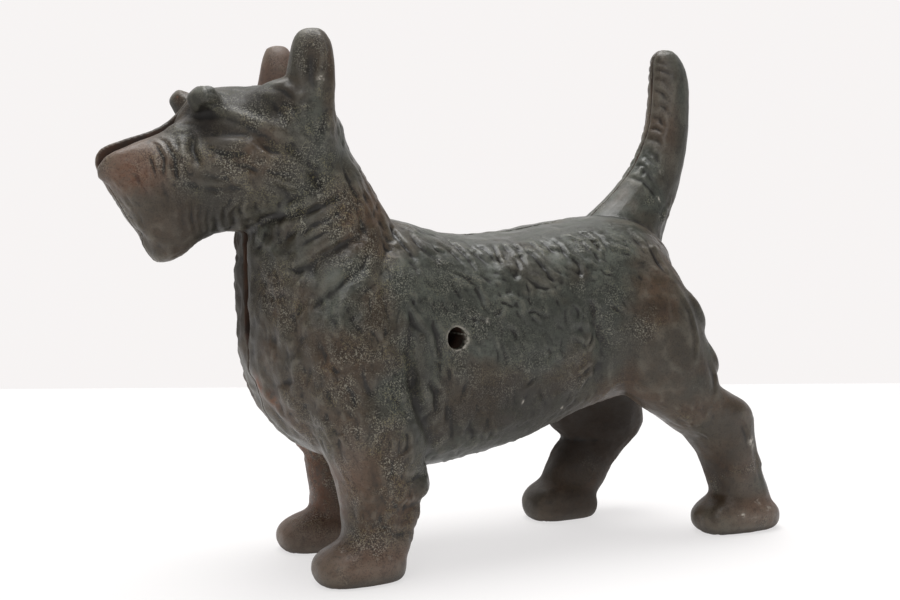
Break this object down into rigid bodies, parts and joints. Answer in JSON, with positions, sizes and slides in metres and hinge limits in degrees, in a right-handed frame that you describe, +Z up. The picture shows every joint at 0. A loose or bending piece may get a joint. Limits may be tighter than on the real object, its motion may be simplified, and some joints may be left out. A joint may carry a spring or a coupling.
{
  "type": "still bank",
  "caption": "Cast iron still bank shaped as a standing terrier: two hollow halves with a coin slot in the back, joined by a long slotted screw.",
  "frame": {"origin": "on the floor under the middle of the bounding box, between the paws", "axes": "-X is the way the dog faces, -Y is its left side (the side with the screw's exit hole), +Z is up"},
  "size_m": [0.2496, 0.08, 0.1818],
  "materials": {
    "iron": "worn dark green-grey and brown paint over grainy cast iron",
    "screw_steel": "aged, dark"
  },
  "bodies": {
    "left_half": {"left_half": "iron"},
    "right_half": {"right_half": "iron"},
    "screw": {"screw": "screw_steel"}
  },
  "joints": [
    {"name": "halves_part", "type": "slide", "parent": "left_half", "child": "right_half", "axis": [0, 1, 0], "range_m": [0, 0.08]},
    {"name": "screw_draw", "type": "slide", "parent": "right_half", "child": "screw", "axis": [0, 1, 0], "range_m": [0, 0.065]}
  ]
}
